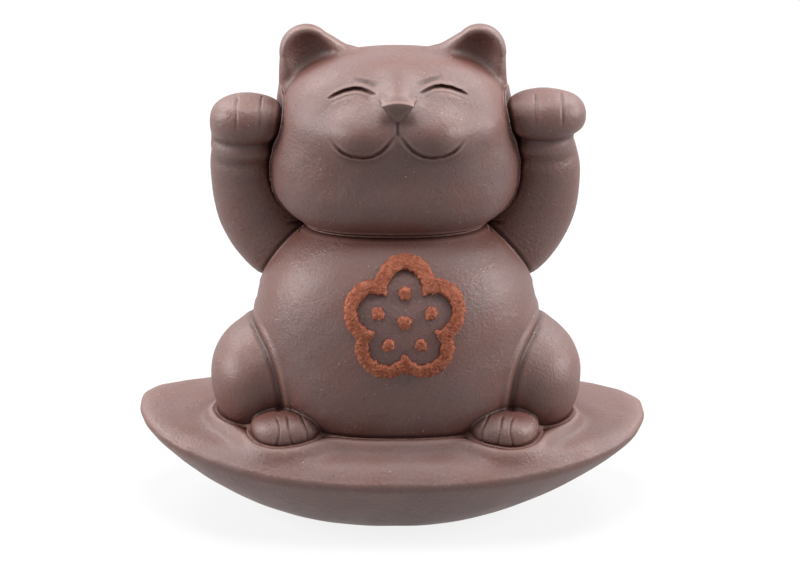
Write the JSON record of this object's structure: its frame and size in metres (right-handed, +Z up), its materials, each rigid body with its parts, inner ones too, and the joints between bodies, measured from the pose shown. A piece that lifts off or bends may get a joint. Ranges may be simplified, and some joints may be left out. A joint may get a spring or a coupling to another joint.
{
  "type": "lucky cat figurine",
  "caption": "Unglazed clay lucky cat with raised paws and closed eyes, seated on a boat-shaped ingot base, with a raised red-clay blossom on its belly; a table ornament.",
  "frame": {"origin": "on the table plane, under the middle of the base", "axes": "+Z up, the cat's face looks along -Y, +X to the right as seen from the front"},
  "size_m": [0.08, 0.052, 0.0777],
  "materials": {
    "dark_clay": "unglazed purple-brown stoneware, matt with a slight satin rub and fine sand specks",
    "pale_slip": "unglazed sandy slip of the same clay, paler and grainy",
    "red_clay": "unglazed orange-red clay, coarse and sandy"
  },
  "bodies": {
    "root": {"foot_slab": "dark_clay", "ingot_shell": "dark_clay", "torso_front_shell": "dark_clay", "torso_back_shell": "dark_clay", "face_shell": "dark_clay", "head_back_shell": "dark_clay", "left_ear": "dark_clay", "right_ear": "dark_clay", "left_arm": "dark_clay", "right_arm": "dark_clay", "left_thigh": "dark_clay", "right_thigh": "dark_clay", "left_foot": "dark_clay", "right_foot": "dark_clay", "tail": "dark_clay", "seat_slip": "pale_slip", "torso_seam_slip": "pale_slip", "neck_slip_ring": "pale_slip", "head_seam_slip": "pale_slip", "belly_ornament": "red_clay"}
  },
  "joints": []
}
